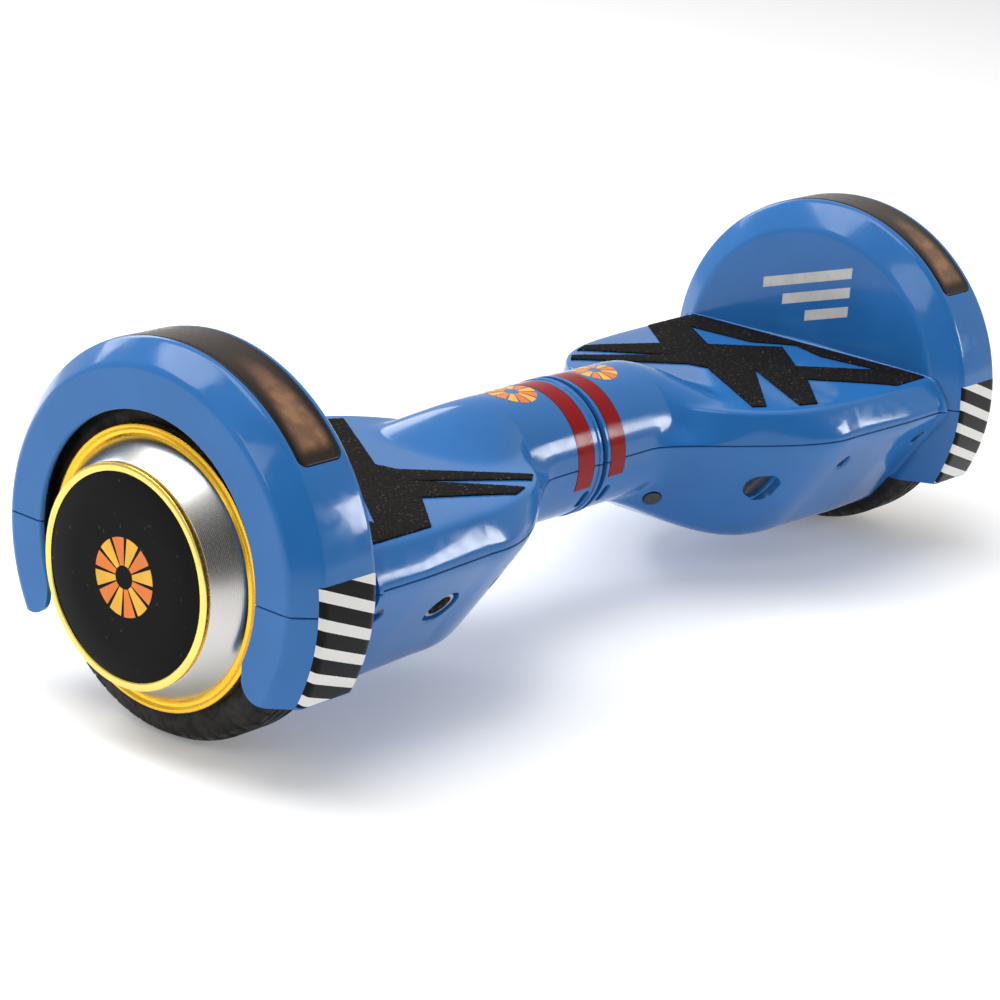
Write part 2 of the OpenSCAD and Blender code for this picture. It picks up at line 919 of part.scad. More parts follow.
foot_sensor(RIGHT, sensor_y);  // foot_sensor_right_rear
charge_port();
power_button();
power_switch();
shell_screws(LEFT);  // shell_screws_left
shell_screws(RIGHT);  // shell_screws_right
cables(LEFT);  // cables_left
cables(RIGHT);  // cables_right
screw_plug();
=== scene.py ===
"""Looks of the self balancing board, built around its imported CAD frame.

Shapes are worked out in millimetres on the right half, the wheel axle at height zero, as in the CAD.
place() puts them on their side of the board, in metres.
"""

import json
import math

import bmesh
import bpy
import numpy as np
from mathutils import Matrix, Vector
from mathutils.bvhtree import BVHTree
from mathutils.geometry import tessellate_polygon
from mathutils.interpolate import poly_3d_calc


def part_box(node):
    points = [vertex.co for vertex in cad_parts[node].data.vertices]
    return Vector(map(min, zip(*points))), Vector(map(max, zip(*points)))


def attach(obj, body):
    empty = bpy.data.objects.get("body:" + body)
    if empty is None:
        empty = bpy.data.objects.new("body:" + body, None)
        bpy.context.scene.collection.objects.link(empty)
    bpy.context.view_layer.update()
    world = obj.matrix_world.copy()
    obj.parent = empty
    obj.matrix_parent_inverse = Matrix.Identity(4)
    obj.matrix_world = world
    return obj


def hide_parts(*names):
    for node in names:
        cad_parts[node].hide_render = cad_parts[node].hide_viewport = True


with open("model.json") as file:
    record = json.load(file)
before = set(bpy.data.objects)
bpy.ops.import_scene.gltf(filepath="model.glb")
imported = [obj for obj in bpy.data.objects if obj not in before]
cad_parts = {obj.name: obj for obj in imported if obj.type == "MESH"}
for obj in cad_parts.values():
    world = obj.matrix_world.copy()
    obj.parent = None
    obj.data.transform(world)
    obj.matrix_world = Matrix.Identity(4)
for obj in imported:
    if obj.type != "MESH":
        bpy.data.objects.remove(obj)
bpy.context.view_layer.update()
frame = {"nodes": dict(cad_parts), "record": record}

MM = 0.001
LEFT, RIGHT = -1, 1
SIDES = {LEFT: "left", RIGHT: "right"}
rng = np.random.default_rng(7)


def box_mm(node):
    """Lowest and highest corner of a CAD node, in millimetres."""
    low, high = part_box(node)
    return low / MM, high / MM


# ---------------------------------------------------------------- sizes from the frame
axle_low, axle_high = box_mm("axle_right")
shell_low, shell_high = box_mm("upper_shell_right")
belly_low, _ = box_mm("lower_shell_right")
tyre_low, tyre_high = box_mm("tyre_right")
ring_low, ring_high = box_mm("outer_trim_ring_right")
inner_low, inner_high = box_mm("inner_trim_ring_right")
_, cap_high = box_mm("hub_cap_right")
seal_low, seal_high = box_mm("centre_seal_ring")
tape_low, tape_high = box_mm("grip_tape_right")

AXLE_Z = (axle_low.z + axle_high.z) / 2
CENTRE_Z = (seal_low.z + seal_high.z) / 2 - AXLE_Z
NECK_END = shell_low.x
FENDER_X1 = shell_high.x
STICKER_LIFT = 0.14
FENDER_R = shell_high.z - AXLE_Z - CENTRE_Z - STICKER_LIFT
DECK_Z = tape_low.z - AXLE_Z
TAPE_T = tape_high.z - tape_low.z
BELLY_Z = AXLE_Z - belly_low.z
TIP_Z = 40
TYRE_R = tyre_high.z - AXLE_Z
TYRE_X0, TYRE_X1 = tyre_low.x, tyre_high.x
RING_R = ring_high.z - AXLE_Z
RING_X0, RING_X1 = ring_low.x, ring_high.x
INNER_R = inner_high.z - AXLE_Z
INNER_X0, INNER_X1 = inner_low.x, inner_high.x
CAP_R = cap_high.z - AXLE_Z
CAP_X1 = cap_high.x

# Sizes that a box doesn't give, as in the CAD
WALL = 2.6
NECK_R = 35
SHOULDER_HALF = 91
HIDDEN_HALF = 26
LOWER_SLOPE = math.radians(35.5)
FENDER_X0 = 227
WELL_X0 = FENDER_X0 + WALL
OPENING_R = 67.4
AXLE_HOLE_R = 9
LENS_X0, LENS_X1 = 240, 266
LENS_ANGLE = 38
LENS_DEPTH = 3.5
LENS_CORNER = 4.5
LENS_PROUD = 0.25
SEAM = 0.22
SEAM_CHAMFER = 0.35
FILLET, FILLET_FADE = 2.2, 4
PORT_X, BUTTON_X, RECESS_Z = 163, 106, -23
PLUG_X, PLUG_ANGLE = 61, math.radians(57)
NECK_SLOT_X, NECK_SLOT_ANGLE = 8.5, 33
PORT_R, BUTTON_R, PLUG_R = 10, 9, 4.7
TIP_OPEN_HALF, TIP_OPEN_Z, TIP_CORNER = 62, 22, 10
SCREW_WELL_R, SCREW_HOLE_R = 3.5, 1.7
SCREW_RECESS_R, SCREW_RECESS_DEPTH = 4.2, 4
SCREW_SEAT_Z = -6
POST_R, BOSS_R = 4.5, 5.5
RING_BORE_R, CONE_BORE_R = 59.5, 57.5
SIDE_SCREWS = {LEFT: [(121, 69), (219, 82)], RIGHT: [(153, 78), (219, 82)]}

# How the section of a half grows from the neck to the shoulder, also as in the CAD
FLARE_X0, FLARE_LENGTH = 12, 130
TAPER_X0, TAPER_LENGTH, TAPER = 150, 45, 2.5
NECK_BELLY, BELLY_X0, BELLY_LENGTH = 26, 15, 110
DECK_FULL, DECK_NOSE, DECK_NOSE_X, DECK_NOSE_LENGTH = 82, 22, 85, 24
RIDGE_X0, RIDGE_LENGTH, RIDGE_DROP, RIDGE_SHARE = 52, 88, 27, 0.8
EDGE_POWER, BLEND_POWER = 24, 24


# ---------------------------------------------------------------- section of a half
def ease(u):
    v = np.clip(u, 0, 1)
    return v * v * (3 - 2 * v)


def half_depth(x):
    """Half the width of the section at x, at seam level."""
    flare = (SHOULDER_HALF - HIDDEN_HALF) * ease((x - FLARE_X0) / FLARE_LENGTH)
    return HIDDEN_HALF + flare + TAPER * np.clip((x - TAPER_X0) / TAPER_LENGTH, 0, 1)


def depth_below(x):
    """How far the belly lies below the axle."""
    return NECK_BELLY + (BELLY_Z - NECK_BELLY) * ease((x - BELLY_X0) / BELLY_LENGTH)


def deck_half(x):
    """Half the width of the section at x, at deck level."""
    nose = DECK_NOSE * np.exp((DECK_NOSE_X - x) / DECK_NOSE_LENGTH)
    return np.maximum(HIDDEN_HALF, DECK_FULL - nose)


def ridge_half(x):
    """Half the width of the round ridge that the neck grows into."""
    return np.maximum(NECK_R, RIDGE_SHARE * half_depth(x))


def ridge_height(x):
    """Height of that ridge over the neck's centre line."""
    return NECK_R - RIDGE_DROP * ease((x - RIDGE_X0) / RIDGE_LENGTH)


def reach(a, x, inset=0.0):
    """Distance from the neck's centre line to the wall at x, at angle a in the section there."""
    y, z = np.abs(np.cos(a)), np.sin(a)
    half = half_depth(x)
    top = DECK_Z - CENTRE_Z
    up = np.arctan((half - deck_half(x)) / top)
    low = LOWER_SLOPE
    deck = (
        (np.maximum(0, z) / (top - inset)) ** EDGE_POWER
        + (np.maximum(0, y * np.cos(up) + z * np.sin(up)) / (half * np.cos(up) - inset)) ** EDGE_POWER
        + (np.maximum(0, y * np.cos(low) - z * np.sin(low)) / (half * np.cos(low) - inset)) ** EDGE_POWER
        + (np.maximum(0, -z) / (depth_below(x) + CENTRE_Z - inset)) ** EDGE_POWER
    ) ** (-1 / EDGE_POWER)
    ridge = 1 / np.hypot(y / (ridge_half(x) - inset), z / (ridge_height(x) - inset))
    swell = FILLET - np.sqrt(np.maximum(0, FILLET**2 - np.clip(x - FENDER_X0 + FILLET, 0, FILLET) ** 2))
    joint = (deck**BLEND_POWER + ridge**BLEND_POWER) ** (1 / BLEND_POWER)
    share = np.clip((CENTRE_Z + joint * z + TIP_Z) / FILLET_FADE, 0, 1)
    return joint + (swell * share if inset == 0 else 0)


def arc_angles(x, low, high, count, inset):
    """Angles from low to high at the section at x, closer together where the wall bends."""
    stride, bend = 2.5, math.radians(4)
    a = np.linspace(low, high, 1600)
    r = reach(a, x, inset)
    points = np.stack([r * np.cos(a), r * np.sin(a)], 1)
    steps = np.diff(points, axis=0)
    length = np.hypot(*steps.T)
    heading = np.unwrap(np.arctan2(steps[:, 1], steps[:, 0]))
    turn = np.abs(np.diff(heading, prepend=heading[0]))
    share = np.concatenate([[0], np.cumsum(length / stride + turn / bend)])
    return np.interp(np.linspace(0, share[-1], count), share, a)


def loft_stations():
    body = np.arange(NECK_END, FENDER_X0 - FILLET, 1.8)
    fillet = FENDER_X0 - FILLET * np.cos(np.linspace(0, math.pi / 2, 7))
    return np.concatenate([body, fillet, [WELL_X0 - 0.3]])


# ---------------------------------------------------------------- mesh tools
def grid_faces(rows, columns, wrap_rows=False, wrap_columns=False):
    """Quads between rows of points, each row with the same number of columns."""
    faces = []
    for i in range(rows if wrap_rows else rows - 1):
        for j in range(columns if wrap_columns else columns - 1):
            a, b = i * columns, (i + 1) % rows * columns
            k = (j + 1) % columns
            faces.append((a + j, a + k, b + k, b + j))
    return faces


def place(name, points, faces, side):
    """An object from points in millimetres at axle height, on its side of the board."""
    xyz = (np.asarray(points, float) * (side, 1, 1) + (0, 0, AXLE_Z)) * MM
    mesh = bpy.data.meshes.new(name)
    mesh.from_pydata(xyz.tolist(), [], faces)
    work = bmesh.new()
    work.from_mesh(mesh)
    bmesh.ops.recalc_face_normals(work, faces=work.faces)
    work.to_mesh(mesh)
    work.free()
    obj = bpy.data.objects.new(name, mesh)
    bpy.context.scene.collection.objects.link(obj)
    return obj


def combine(base, others, operation):
    """Joins the other objects to base or cuts them from it, and uses them up."""
    for other in others:
        step = base.modifiers.new(other.name, "BOOLEAN")
        step.operation = operation
        step.solver = "MANIFOLD"
        step.object = other
    graph = bpy.context.evaluated_depsgraph_get()
    mesh = bpy.data.meshes.new_from_object(base.evaluated_get(graph))
    base.modifiers.clear()
    base.data = mesh
    for other in others:
        bpy.data.objects.remove(other)


def rounded(corners):
    """Closed outline through corners (u, v, radius), each corner turned into an arc of its radius."""
    outline = []
    count = len(corners)
    for i, (u, v, radius) in enumerate(corners):
        here = np.array([u, v], float)
        before = np.array(corners[i - 1][:2], float) - here
        after = np.array(corners[(i + 1) % count][:2], float) - here
        before /= np.linalg.norm(before)
        after /= np.linalg.norm(after)
        if radius == 0:
            outline.append(here)
            continue
        half = math.acos(np.clip(before @ after, -1, 1)) / 2
        middle = here + (before + after) / np.linalg.norm(before + after) * radius / math.sin(half)
        start = here + before * radius / math.tan(half) - middle
        end = here + after * radius / math.tan(half) - middle
        sweep = math.pi - 2 * half
        steps = max(2, math.ceil(math.degrees(sweep) / 9))
        for k in range(steps + 1):
            t = k / steps
            spread = math.sin((1 - t) * sweep) * start + math.sin(t * sweep) * end
            outline.append(middle + spread / math.sin(sweep))
    return np.array(outline)


def spread(outline, longest):
    """The closed outline with points added, so that no edge is longer than that."""
    points = []
    for p, q in zip(outline, np.roll(outline, -1, axis=0)):
        steps = max(1, math.ceil(np.linalg.norm(q - p) / longest))
        points += [p + (q - p) * k / steps for k in range(steps)]
    return np.array(points)


def around_x(outline, centre_z, steps):
    """Points and faces of a closed outline (x, r) turned around a line along X."""
    angles = np.arange(steps) * 2 * math.pi / steps
    x, r = outline[:, 0], outline[:, 1]
    rows = [np.stack([x, r * math.cos(a), centre_z + r * math.sin(a)], 1) for a in angles]
    return np.concatenate(rows), grid_faces(steps, len(outline), True, True)


def half_around_x(outline, upper, steps=200):
    """The outline turned only above or below the seam, with chamfered ends on the seam."""
    rows = []
    normals = np.roll(outline, -1, axis=0) - np.roll(outline, 1, axis=0)
    normals = np.stack([normals[:, 1], -normals[:, 0]], 1)
    normals /= np.maximum(np.linalg.norm(normals, axis=1, keepdims=True), 1e-9)
    following = np.roll(outline, -1, axis=0)
    area = np.sum(outline[:, 0] * following[:, 1] - following[:, 0] * outline[:, 1])
    inward = -normals if area > 0 else normals
    for k in range(steps + 1):
        end = k in (0, steps)
        loop = outline + inward * SEAM_CHAMFER if end else outline
        height = SEAM if end else SEAM + SEAM_CHAMFER
        x, r = loop[:, 0], loop[:, 1]
        first = np.arcsin(height / r)
        a = first + (math.pi - 2 * first) * np.clip((k - 1) / (steps - 2), 0, 1)
        a = a if upper else a + math.pi
        rows.append(np.stack([x, r * np.cos(a), CENTRE_Z + r * np.sin(a)], 1))
    faces = grid_faces(steps + 1, len(outline), False, True)
    last = steps * len(outline)
    faces += [tuple(range(len(outline))), tuple(last + i for i in range(len(outline)))]
    return np.concatenate(rows), faces


def slope_matrix(x, z):
    """Frame that stands on the sloping lower front, its Z square out of the wall."""
    spot = Vector((x, -(float(half_depth(x)) + (z - CENTRE_Z) * math.tan(LOWER_SLOPE)), z))
    return Matrix.Translation(spot) @ Matrix.Rotation(math.pi / 2 + LOWER_SLOPE, 4, "X")


def neck_matrix(x, angle):
    """Frame in the middle of the neck, its Z out through the front at that angle below level."""
    turn = Matrix.Rotation(math.pi / 2 + math.radians(angle), 4, "X")
    return Matrix.Translation((x, 0, CENTRE_Z)) @ turn


def flare_matrix(x, angle):
    """Frame square on the wall where the neck flares into the foot, at that angle below the seam."""
    r, step = float(reach(-angle, x)), 0.01
    lean = math.atan(float(reach(-angle - step, x) - reach(-angle + step, x)) / (2 * step) / r)
    tilt = math.atan(float(reach(-angle, x + 1) - reach(-angle, x - 1)) / 2)
    spot = Vector((x, -r * math.cos(angle), CENTRE_Z - r * math.sin(angle)))
    turn = Matrix.Rotation(math.pi / 2 + angle - lean, 4, "X") @ Matrix.Rotation(-tilt, 4, "Y")
    return Matrix.Translation(spot) @ turn


def turned(outline, matrix, stretch, steps=48):
    """Points and faces of a solid whose outline (r, z) runs from axis to axis, turned around Z.
    stretch pulls the circle into a slot along Y by that much each way."""
    rows = []
    for k in range(steps):
        a = 2 * math.pi * k / steps
        shift = stretch * np.sign(round(math.sin(a), 6))
        r, z = outline[:, 0], outline[:, 1]
        rows.append(np.stack([r * math.cos(a), r * math.sin(a) + (r > 0) * shift, z], 1))
    points = np.array([matrix @ Vector(p) for p in np.concatenate(rows)])
    return points, grid_faces(steps, len(outline), True, False)


def welded(obj):
    """Joins the points that meet, such as those at the poles of a turned solid."""
    work = bmesh.new()
    work.from_mesh(obj.data)
    bmesh.ops.remove_doubles(work, verts=work.verts, dist=1e-7)
    bmesh.ops.recalc_face_normals(work, faces=work.faces)
    work.to_mesh(obj.data)
    work.free()
    return obj


def cutter(outline, matrix, side, stretch=0.0):
    points, faces = turned(np.array(outline, float), matrix, stretch)
    return welded(place("cutter", points, faces, side))


def prism_x(outline, x0, x1, side):
    """An outline (y, z) drawn out along X."""
    count = len(outline)
    points = [(x, y, z) for x in (x0, x1) for y, z in outline]
    faces = grid_faces(2, count, False, True)
    faces += [tuple(range(count)), tuple(count + i for i in range(count))]
    return place("prism", points, faces, side)


def smooth(obj, angle=32):
    """Smooth shading that breaks at edges sharper than that angle."""
    obj.data.shade_smooth()
    obj.data.set_sharp_from_angle(angle=math.radians(angle))


def patch(name, surface, us, vs, side, lift=STICKER_LIFT, under=-0.1):
    """A closed sheet between two heights over a surface(u, v, height), at the rows us and columns vs."""
    rows, columns = len(us), len(vs)
    grids = [[surface(u, v, height) for u in us for v in vs] for height in (lift, under)]
    count = rows * columns
    faces = grid_faces(rows, columns)
    faces += [tuple(count + i for i in reversed(f)) for f in faces]
    rim = list(range(columns))
    rim += [i * columns + columns - 1 for i in range(1, rows)]
    rim += [count - 2 - i for i in range(columns - 1)]
    rim += [(rows - 2 - i) * columns for i in range(rows - 2)]
    faces += [(a, b, b + count, a + count) for a, b in zip(rim, rim[1:] + rim[:1])]
    made = place(name, grids[0] + grids[1], faces, side)
    smooth(made, 40)
    return made


def body_normals(points):
    """Outward normals of the lofted body at points in millimetres, and how far off it they are."""
    x = points[:, 0]
    y, z = points[:, 1], points[:, 2] - CENTRE_Z
    angle = np.arctan2(z, y)

    def wall(x, a):
        r = reach(a, x)
        return np.stack([x, r * np.cos(a), r * np.sin(a)], 1)

    step, turn = 0.05, 0.0005
    along = wall(x + step, angle) - wall(x - step, angle)
    around = wall(x, angle + turn) - wall(x, angle - turn)
    normals = np.cross(around, along)
    normals /= np.linalg.norm(normals, axis=1, keepdims=True)
    return normals, np.abs(np.hypot(y, z) - reach(angle, x))


def fender_guide(side):
    """The turned fender wall with its smooth normals, for looking up the nearest spot."""
    guide = place("guide", *around_x(FENDER_WALL, CENTRE_Z, 300), side)
    mesh = guide.data
    corners = [v.co.copy() for v in mesh.vertices]
    normals = [n.vector.copy() for n in mesh.vertex_normals]
    quads = [tuple(p.vertices) for p in mesh.polygons]
    bpy.data.objects.remove(guide)
    return BVHTree.FromPolygons(corners, quads), corners, normals, quads


def follow_surfaces(obj, side, near=0.15, flat=0.99999, facing=0.8):
    """Gives the parts of a shell within near of its smooth body or fender the normals of that surface,
    unless they face another way, and the flat fender faces their own."""
    smooth(obj)
    tree, corners, normals, quads = fender_guide(side)
    points = np.array([v.co for v in obj.data.vertices]) / MM * (side, 1, 1) - (0, 0, AXLE_Z)
    on_wall, off = body_normals(points)
    found = []
    for v, normal, gap in zip(obj.data.vertices, on_wall * (side, 1, 1), off):
        choices = [Vector(normal)] if gap < near else []
        spot, _, index, _ = tree.find_nearest(v.co, near * MM)
        if spot is not None:
            quad = quads[index]
            weights = poly_3d_calc([corners[i] for i in quad], spot)
            choices.append(sum((normals[i] * w for i, w in zip(quad, weights)), Vector()).normalized())
        found.append(choices)
    result = [n.vector.copy() for n in obj.data.corner_normals]
    for face in obj.data.polygons:
        level = abs(face.normal.x) > flat
        for corner, vertex in zip(face.loop_indices, face.vertices):
            best = max(found[vertex], key=lambda n: abs(n.dot(face.normal)), default=None)
            if level:
                result[corner] = face.normal.copy()
            elif best is not None and abs(best.dot(face.normal)) > facing:
                result[corner] = best if best.dot(face.normal) > 0 else -best
    obj.data.normals_split_custom_set(result)


def piece(obj, body, material, slot, *nodes):
    """Finishes an object: its material, the body it rides on and the CAD nodes it stands for."""
    obj.data.materials.clear()
    obj.data.materials.append(material)
    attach(obj, body)
    if nodes:
        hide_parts(*nodes)
    return obj


# ---------------------------------------------------------------- materials
class Finish:
    """A Principled material whose textures are laid out in the object's own millimetres."""

    def __init__(self, name, colour, roughness, metallic=0.0, **sockets):
        self.material = bpy.data.materials.new(name)
        self.material.use_nodes = True
        self.nodes = self.material.node_tree.nodes
        self.links = self.material.node_tree.links
        self.shader = self.nodes["Principled BSDF"]
        self.shader.inputs["Base Color"].default_value = (*colour, 1)
        self.shader.inputs["Roughness"].default_value = roughness
        self.shader.inputs["Metallic"].default_value = metallic
        for socket, value in sockets.items():
            label = socket.replace("_", " ").title().replace("Ior", "IOR")
            self.shader.inputs[label].default_value = value
        self.place = self.nodes.new("ShaderNodeTexCoord").outputs["Object"]

    def node(self, kind, inputs=(), **settings):
        made = self.nodes.new(kind)
        for key, value in settings.items():
            setattr(made, key, value)
        for key, value in dict(inputs).items():
            if isinstance(value, bpy.types.NodeSocket):
                self.links.new(value, made.inputs[key])
            else:
                made.inputs[key].default_value = value
        return made

    def math(self, operation, *values):
        return self.node("ShaderNodeMath", enumerate(values), operation=operation).outputs[0]

    def ramp(self, value, low, high, to_low=0.0, to_high=1.0):
        inputs = {"Value": value, "From Min": low, "From Max": high, "To Min": to_low, "To Max": to_high}
        return self.node("ShaderNodeMapRange", inputs, interpolation_type="SMOOTHSTEP").outputs[0]

    def noise(self, size_mm, detail=2.0, low=0.35, high=0.65):
        """Soft blotches of about that size, from 0 to 1."""
        inputs = {"Vector": self.place, "Scale": 1 / (size_mm * MM), "Detail": detail}
        return self.ramp(self.node("ShaderNodeTexNoise", inputs).outputs["Fac"], low, high)

    def grains(self, size_mm):
        """A different value from 0 to 1 for each grain of about that size."""
        inputs = {"Vector": self.place, "Scale": 1 / (size_mm * MM)}
        colour = self.node("ShaderNodeTexVoronoi", inputs).outputs["Color"]
        return self.node("ShaderNodeSeparateColor", {"Color": colour}).outputs[0]

    def axes(self):
        """x, y and z in millimetres, with z measured from the axle."""
        parts = self.node("ShaderNodeSeparateXYZ", {"Vector": self.place}).outputs
        x, y, z = (self.math("MULTIPLY", part, 1 / MM) for part in parts)
        return x, y, self.math("SUBTRACT", z, AXLE_Z)

    def radius(self):
        """Distance from the axle line in millimetres."""
        _, y, z = self.axes()
        squares = self.math("ADD", self.math("MULTIPLY", y, y), self.math("MULTIPLY", z, z))
        return self.math("SQRT", squares)

    def tint(self, share, colour):
        """Moves the colour towards another one where share is 1."""
        mix = self.node("ShaderNodeMix", data_type="RGBA")
        base = self.shader.inputs["Base Color"]
        if base.is_linked:
            self.links.new(base.links[0].from_socket, mix.inputs[6])
        else:
            mix.inputs[6].default_value = base.default_value
        self.links.new(share, mix.inputs[0])
        mix.inputs[7].default_value = (*colour, 1)
        self.links.new(mix.outputs[2], base)
        return self

    def gloss(self, share, low, high):
        """Roughness from low to high as share goes from 0 to 1."""
        self.links.new(self.ramp(share, 0, 1, low, high), self.shader.inputs["Roughness"])
        return self

    def bump(self, height, depth_mm, strength):
        normal = self.shader.inputs["Normal"]
        inputs = {"Height": height, "Distance": depth_mm * MM, "Strength": strength}
        made = self.node("ShaderNodeBump", inputs)
        if normal.is_linked:
            self.links.new(normal.links[0].from_socket, made.inputs["Normal"])
        self.links.new(made.outputs[0], normal)
        return self


def shade(colour, factor):
    return tuple(c * factor for c in colour)


def shell_blue():
    colour = (0.022, 0.15, 0.43)
    gloss = {"coat_weight": 0.1, "coat_roughness": 0.03, "specular_ior_level": 0.3}
    finish = Finish("shell_blue", colour, 0.12, **gloss)
    finish.tint(finish.noise(38, 3), shade(colour, 0.93))
    finish.gloss(finish.noise(6, 4), 0.1, 0.17)
    return finish.bump(finish.noise(1.6), 0.004, 0.5).material


def grip_tape():
    finish = Finish("grip_tape", (0.008, 0.007, 0.0065), 0.85, specular_ior_level=0.05)
    grain = finish.grains(0.55)
    finish.tint(finish.ramp(grain, 0.75, 1.0), (0.02, 0.018, 0.016))
    finish.tint(finish.ramp(finish.grains(0.8), 0.96, 1.0), (0.14, 0.11, 0.08))
    finish.tint(finish.math("MULTIPLY", finish.noise(9, 3), 0.5), (0.01, 0.009, 0.008))
    finish.gloss(grain, 0.55, 0.95)
    return finish.bump(grain, 0.35, 0.8).material


def smoked_lens():
    finish = Finish("smoked_lens", (0.012, 0.009, 0.0075), 0.22, specular_ior_level=0.15)
    x, y, _ = finish.axes()
    middle = (LENS_X0 + LENS_X1) / 2
    off = finish.math("ABSOLUTE", finish.math("SUBTRACT", finish.math("ABSOLUTE", x), middle))
    lean = finish.math("ABSOLUTE", y)
    widening = finish.math("MULTIPLY", lean, 0.11)
    across = finish.ramp(finish.math("SUBTRACT", off, widening), 4.0, -3.0)
    along = finish.math("MULTIPLY", finish.ramp(lean, 20, 60), finish.ramp(lean, 75, 70))
    core = finish.math("MULTIPLY", across, along)
    blotchy = finish.math("MULTIPLY", core, finish.ramp(finish.noise(9, 3), 0, 1, 0.6, 1))
    finish.tint(finish.ramp(off, 12.8, 8), (0.03, 0.02, 0.015))
    finish.tint(blotchy, (0.29, 0.155, 0.085))
    finish.gloss(finish.noise(2.5, 4), 0.18, 0.28)
    return finish.bump(finish.noise(1.2), 0.01, 0.4).material


def turned_steel():
    finish = Finish("turned_steel", (0.62, 0.61, 0.59), 0.24, 1.0, anisotropic=0.8)
    tangent = finish.node("ShaderNodeTangent", direction_type="RADIAL", axis="X")
    finish.links.new(tangent.outputs[0], finish.shader.inputs["Tangent"])
    rings = finish.math("SINE", finish.math("MULTIPLY", finish.radius(), 2 * math.pi / 0.42))
    finish.gloss(finish.ramp(rings, -1, 1), 0.2, 0.27)
    finish.tint(finish.noise(30, 2), (0.58, 0.57, 0.55))
    return finish.bump(rings, 0.004, 0.35).material


def anodised(name, colour, roughness):
    finish = Finish(name, colour, roughness, 1.0, coat_weight=0.3, coat_roughness=0.08)
    rings = finish.math("SINE", finish.math("MULTIPLY", finish.radius(), 2 * math.pi / 0.5))
    finish.tint(finish.noise(20, 2), shade(colour, 0.93))
    finish.gloss(finish.noise(3, 3), roughness * 0.9, roughness * 1.15)
    return finish.bump(rings, 0.003, 0.3).material


def piano_black():
    finish = Finish("gloss_black", (0.003, 0.003, 0.003), 0.1, specular_ior_level=0.07)
    finish.gloss(finish.noise(4, 4), 0.06, 0.14)
    finish.tint(finish.ramp(finish.grains(1.1), 0.99, 1.0), (0.03, 0.03, 0.03))
    return finish.bump(finish.noise(3), 0.003, 0.5).material


def rubber():
    finish = Finish("tyre_rubber", (0.011, 0.0105, 0.01), 0.6, specular_ior_level=0.2)
    finish.tint(finish.noise(12, 4), (0.024, 0.022, 0.02))
    finish.gloss(finish.noise(4, 4), 0.48, 0.72)
    return finish.bump(finish.noise(0.5, 3), 0.05, 0.35).material


def plain(name, colour, roughness, metallic, blotch, grain, depth):
    """Moulded, cast or blackened surfaces: faint colour blotches, uneven gloss and a fine grain."""
    finish = Finish(name, colour, roughness, metallic)
    finish.tint(finish.noise(blotch, 3), shade(colour, 0.82))
    finish.gloss(finish.noise(blotch / 3, 4), roughness * 0.85, min(1, roughness * 1.2))
    return finish.bump(finish.noise(grain, 3), depth, 0.5).material


def circuit_board():
    finish = Finish("circuit_board", (0.01, 0.085, 0.035), 0.4)
    inputs = {"Vector": finish.place, "Scale": 1 / (3.2 * MM), "Mortar Size": 0.12}
    tracks = finish.node("ShaderNodeTexBrick", inputs).outputs["Fac"]
    finish.tint(tracks, (0.03, 0.2, 0.08))
    return finish.bump(tracks, 0.03, 0.6).material


def windings():
    finish = Finish("windings", (0.42, 0.16, 0.05), 0.3, 0.9)
    wires = finish.math("SINE", finish.math("MULTIPLY", finish.axes()[0], 2 * math.pi / 0.9))
    # Painted shade: the colour is darker in the grooves between the turns of wire, where the bump is
    # deepest.
    finish.tint(finish.ramp(wires, -1, -0.2, 1, 0), (0.12, 0.04, 0.015))
    return finish.bump(wires, 0.15, 0.8).material


# Colour, roughness, metallic, size of the blotches, size and depth of the grain
PLAIN = {
    "cast_aluminium": ((0.5, 0.51, 0.52), 0.42, 1.0, 10, 0.7, 0.04),
    "steel": ((0.6, 0.6, 0.59), 0.25, 1.0, 8, 0.5, 0.01),
    "bronze": ((0.45, 0.26, 0.1), 0.4, 1.0, 6, 0.4, 0.02),
    "dark_steel": ((0.07, 0.07, 0.075), 0.38, 1.0, 5, 0.4, 0.02),
    "seal_dark_blue": ((0.006, 0.012, 0.045), 0.32, 0.0, 8, 0.6, 0.01),
    "battery_wrap": ((0.02, 0.035, 0.14), 0.35, 0.0, 20, 2.5, 0.05),
    "white_silicone": ((0.6, 0.6, 0.58), 0.5, 0.0, 6, 0.4, 0.02),
    "black_plastic": ((0.03, 0.032, 0.038), 0.42, 0.0, 6, 0.4, 0.02),
    "cable_black": ((0.012, 0.012, 0.012), 0.5, 0.0, 6, 0.4, 0.02),
}

MATERIALS = {
    "shell_blue": shell_blue(),
    "turned_steel": turned_steel(),
    "smoked_lens": smoked_lens(),
    "circuit_board": circuit_board(),
    "grip_tape": grip_tape(),
    "tyre_rubber": rubber(),
    "windings": windings(),
    "gold_trim": anodised("gold_trim", (0.95, 0.56, 0.03), 0.24),
    "pale_gold_trim": anodised("pale_gold_trim", (0.93, 0.7, 0.17), 0.24),
    "gloss_black": piano_black(),
}
MATERIALS.update({name: plain(name, *values) for name, values in PLAIN.items()})

# For each look, the name of another look's slot, passed on to piece()
SLOTS = {"turned_steel": "steel"}


